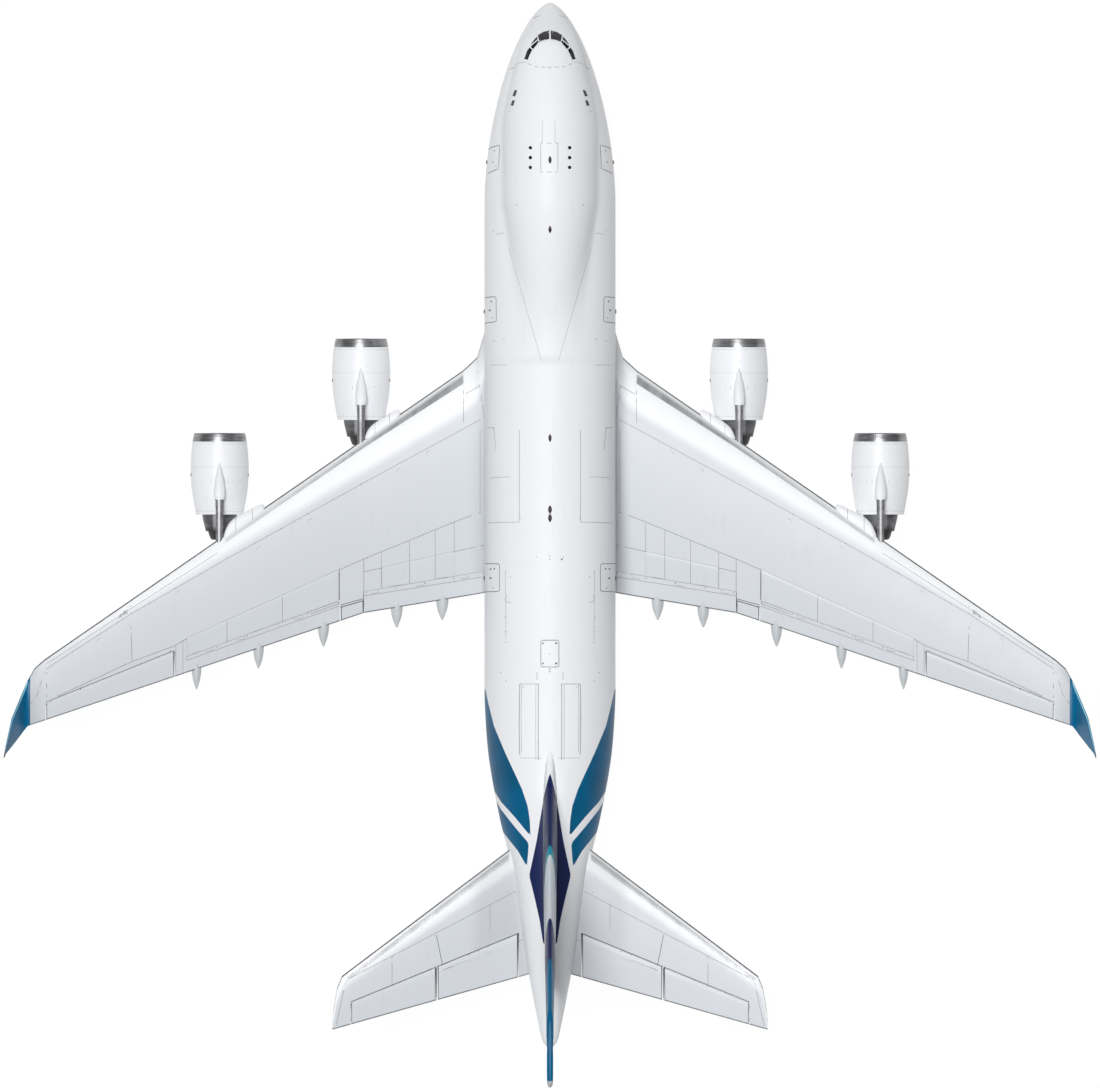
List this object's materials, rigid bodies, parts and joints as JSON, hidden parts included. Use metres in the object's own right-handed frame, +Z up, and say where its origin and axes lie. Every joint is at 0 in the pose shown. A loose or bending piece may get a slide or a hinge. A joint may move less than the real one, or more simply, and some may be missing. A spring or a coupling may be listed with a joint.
{
  "type": "half-scale military transport plane",
  "caption": "Wide-body four-engine military transport plane with a short raised upper deck, swept low wings, canted winglets and a striped fin, parked on its landing gear, at half scale.",
  "frame": {"origin": "centre of the bounding box on the ground under the tyres", "axes": "+Z up, nose towards -Y, left wing towards +X"},
  "size_m": [27.3068, 27.08, 9.7],
  "materials": {
    "white_paint": "gloss white paint",
    "wing_paint": "satin light blue-grey paint",
    "teal_paint": "gloss teal paint",
    "tail_paint": "gloss teal and navy paint",
    "core_metal": "heat-darkened metal",
    "fan_metal": "satin machined metal",
    "gear_paint": "light grey gear paint",
    "tyre": "matt black rubber"
  },
  "bodies": {
    "airframe": {"body_gear_left": "gear_paint", "body_gear_right": "gear_paint", "core_inner_left": "core_metal", "core_inner_right": "core_metal", "core_outer_left": "core_metal", "core_outer_right": "core_metal", "cowl_inner_left": "white_paint", "cowl_inner_right": "white_paint", "cowl_outer_left": "white_paint", "cowl_outer_right": "white_paint", "fin": "tail_paint", "flap_inner_left": "wing_paint", "flap_inner_right": "wing_paint", "flap_outer_left": "wing_paint", "flap_outer_right": "wing_paint", "fuselage": "white_paint", "nose_gear_door_left": "white_paint", "nose_gear_door_right": "white_paint", "nose_leg": "gear_paint", "pylon_inner_left": "white_paint", "pylon_inner_right": "white_paint", "pylon_outer_left": "white_paint", "pylon_outer_right": "white_paint", "stabilizer_left": "wing_paint", "stabilizer_right": "wing_paint", "wing_gear_left": "gear_paint", "wing_gear_right": "gear_paint", "wing_left": "wing_paint", "wing_right": "wing_paint", "winglet_left": "teal_paint", "winglet_right": "teal_paint"},
    "aileron_inner_left_body": {"aileron_inner_left": "wing_paint"},
    "aileron_inner_right_body": {"aileron_inner_right": "wing_paint"},
    "aileron_outer_left_body": {"aileron_outer_left": "wing_paint"},
    "aileron_outer_right_body": {"aileron_outer_right": "wing_paint"},
    "elevator_inner_left_body": {"elevator_inner_left": "wing_paint"},
    "elevator_inner_right_body": {"elevator_inner_right": "wing_paint"},
    "elevator_outer_left_body": {"elevator_outer_left": "wing_paint"},
    "elevator_outer_right_body": {"elevator_outer_right": "wing_paint"},
    "fan_inner_left_body": {"fan_inner_left": "fan_metal"},
    "fan_inner_right_body": {"fan_inner_right": "fan_metal"},
    "fan_outer_left_body": {"fan_outer_left": "fan_metal"},
    "fan_outer_right_body": {"fan_outer_right": "fan_metal"},
    "nose_fork_body": {"nose_fork": "gear_paint"},
    "nose_wheels_body": {"nose_wheels": "tyre"},
    "rudder_lower_body": {"rudder_lower": "tail_paint"},
    "rudder_upper_body": {"rudder_upper": "tail_paint"},
    "spoiler_inner_left_body": {"spoiler_inner_left": "wing_paint"},
    "spoiler_inner_right_body": {"spoiler_inner_right": "wing_paint"},
    "spoiler_outer_left_body": {"spoiler_outer_left": "wing_paint"},
    "spoiler_outer_right_body": {"spoiler_outer_right": "wing_paint"},
    "wheels_body_front_left_body": {"wheels_body_front_left": "tyre"},
    "wheels_body_front_right_body": {"wheels_body_front_right": "tyre"},
    "wheels_body_rear_left_body": {"wheels_body_rear_left": "tyre"},
    "wheels_body_rear_right_body": {"wheels_body_rear_right": "tyre"},
    "wheels_wing_front_left_body": {"wheels_wing_front_left": "tyre"},
    "wheels_wing_front_right_body": {"wheels_wing_front_right": "tyre"},
    "wheels_wing_rear_left_body": {"wheels_wing_rear_left": "tyre"},
    "wheels_wing_rear_right_body": {"wheels_wing_rear_right": "tyre"}
  },
  "joints": [
    {"name": "aileron_inner_left_hinge", "type": "hinge", "parent": "airframe", "child": "aileron_inner_left_body", "pos_m": [4.9595, 1.517, 1.97459], "axis": [0.9551, 0.263, 0.1361], "range_deg": [-25, 20]},
    {"name": "aileron_inner_right_hinge", "type": "hinge", "parent": "airframe", "child": "aileron_inner_right_body", "pos_m": [-4.9595, 1.517, 1.97459], "axis": [0.9551, -0.263, -0.1361], "range_deg": [-25, 20]},
    {"name": "aileron_outer_left_hinge", "type": "hinge", "parent": "airframe", "child": "aileron_outer_left_body", "pos_m": [11.01, 3.3785, 2.82076], "axis": [0.9203, 0.3707, 0.1253], "range_deg": [-25, 20]},
    {"name": "aileron_outer_right_hinge", "type": "hinge", "parent": "airframe", "child": "aileron_outer_right_body", "pos_m": [-11.01, 3.3785, 2.82076], "axis": [0.9203, -0.3707, -0.1253], "range_deg": [-25, 20]},
    {"name": "elevator_inner_left_hinge", "type": "hinge", "parent": "airframe", "child": "elevator_inner_left_body", "pos_m": [1.808, 10.2215, 3.5135], "axis": [0.9194, 0.3762, 0.1149], "range_deg": [-17, 22]},
    {"name": "elevator_inner_right_hinge", "type": "hinge", "parent": "airframe", "child": "elevator_inner_right_body", "pos_m": [-1.808, 10.2215, 3.5135], "axis": [0.9194, -0.3762, -0.1149], "range_deg": [-17, 22]},
    {"name": "elevator_outer_left_hinge", "type": "hinge", "parent": "airframe", "child": "elevator_outer_left_body", "pos_m": [3.9155, 11.083, 3.77694], "axis": [0.9196, 0.3757, 0.1149], "range_deg": [-17, 22]},
    {"name": "elevator_outer_right_hinge", "type": "hinge", "parent": "airframe", "child": "elevator_outer_right_body", "pos_m": [-3.9155, 11.083, 3.77694], "axis": [0.9196, -0.3757, -0.1149], "range_deg": [-17, 22]},
    {"name": "fan_inner_left_spin", "type": "hinge", "parent": "airframe", "child": "fan_inner_left_body", "pos_m": [4.733, -4.395, 1.22], "axis": [0, 1, 0], "continuous": true},
    {"name": "fan_inner_right_spin", "type": "hinge", "parent": "airframe", "child": "fan_inner_right_body", "pos_m": [-4.733, -4.395, 1.22], "axis": [0, 1, 0], "continuous": true},
    {"name": "fan_outer_left_spin", "type": "hinge", "parent": "airframe", "child": "fan_outer_left_body", "pos_m": [8.275, -2.028, 1.57], "axis": [0, 1, 0], "continuous": true},
    {"name": "fan_outer_right_spin", "type": "hinge", "parent": "airframe", "child": "fan_outer_right_body", "pos_m": [-8.275, -2.028, 1.57], "axis": [0, 1, 0], "continuous": true},
    {"name": "nose_steering", "type": "hinge", "parent": "airframe", "child": "nose_fork_body", "pos_m": [0, -9.69, 0.3113], "axis": [0, 0, 1], "range_deg": [-70, 70]},
    {"name": "nose_wheels_spin", "type": "hinge", "parent": "nose_fork_body", "child": "nose_wheels_body", "pos_m": [0, -9.69, 0.3113], "axis": [1, 0, 0], "continuous": true},
    {"name": "rudder_lower_hinge", "type": "hinge", "parent": "airframe", "child": "rudder_lower_body", "pos_m": [0, 10.33, 5.64], "axis": [0, 0.5501, 0.8351], "range_deg": [-27, 27]},
    {"name": "rudder_upper_hinge", "type": "hinge", "parent": "airframe", "child": "rudder_upper_body", "pos_m": [0, 12.0095, 8.19], "axis": [0, 0.5501, 0.8351], "range_deg": [-27, 27]},
    {"name": "spoiler_inner_left_hinge", "type": "hinge", "parent": "airframe", "child": "spoiler_inner_left_body", "pos_m": [3.305, 0.4045, 1.91554], "axis": [0.9696, 0.2148, 0.117], "range_deg": [0, 45]},
    {"name": "spoiler_inner_right_hinge", "type": "hinge", "parent": "airframe", "child": "spoiler_inner_right_body", "pos_m": [-3.305, 0.4045, 1.91554], "axis": [0.9696, -0.2148, -0.117], "range_deg": [0, 45]},
    {"name": "spoiler_outer_left_hinge", "type": "hinge", "parent": "airframe", "child": "spoiler_outer_left_body", "pos_m": [7.2, 1.526, 2.40865], "axis": [0.906, 0.4101, 0.1053], "range_deg": [0, 45]},
    {"name": "spoiler_outer_right_hinge", "type": "hinge", "parent": "airframe", "child": "spoiler_outer_right_body", "pos_m": [-7.2, 1.526, 2.40865], "axis": [0.906, -0.4101, -0.1053], "range_deg": [0, 45]},
    {"name": "wheels_body_front_left_spin", "type": "hinge", "parent": "airframe", "child": "wheels_body_front_left_body", "pos_m": [0.96, 0.5125, 0.3113], "axis": [1, 0, 0], "continuous": true},
    {"name": "wheels_body_front_right_spin", "type": "hinge", "parent": "airframe", "child": "wheels_body_front_right_body", "pos_m": [-0.96, 0.5125, 0.3113], "axis": [1, 0, 0], "continuous": true},
    {"name": "wheels_body_rear_left_spin", "type": "hinge", "parent": "airframe", "child": "wheels_body_rear_left_body", "pos_m": [0.96, 1.2475, 0.3113], "axis": [1, 0, 0], "continuous": true},
    {"name": "wheels_body_rear_right_spin", "type": "hinge", "parent": "airframe", "child": "wheels_body_rear_right_body", "pos_m": [-0.96, 1.2475, 0.3113], "axis": [1, 0, 0], "continuous": true},
    {"name": "wheels_wing_front_left_spin", "type": "hinge", "parent": "airframe", "child": "wheels_wing_front_left_body", "pos_m": [2.75, -1.0075, 0.3113], "axis": [1, 0, 0], "continuous": true},
    {"name": "wheels_wing_front_right_spin", "type": "hinge", "parent": "airframe", "child": "wheels_wing_front_right_body", "pos_m": [-2.75, -1.0075, 0.3113], "axis": [1, 0, 0], "continuous": true},
    {"name": "wheels_wing_rear_left_spin", "type": "hinge", "parent": "airframe", "child": "wheels_wing_rear_left_body", "pos_m": [2.75, -0.2725, 0.3113], "axis": [1, 0, 0], "continuous": true},
    {"name": "wheels_wing_rear_right_spin", "type": "hinge", "parent": "airframe", "child": "wheels_wing_rear_right_body", "pos_m": [-2.75, -0.2725, 0.3113], "axis": [1, 0, 0], "continuous": true}
  ]
}
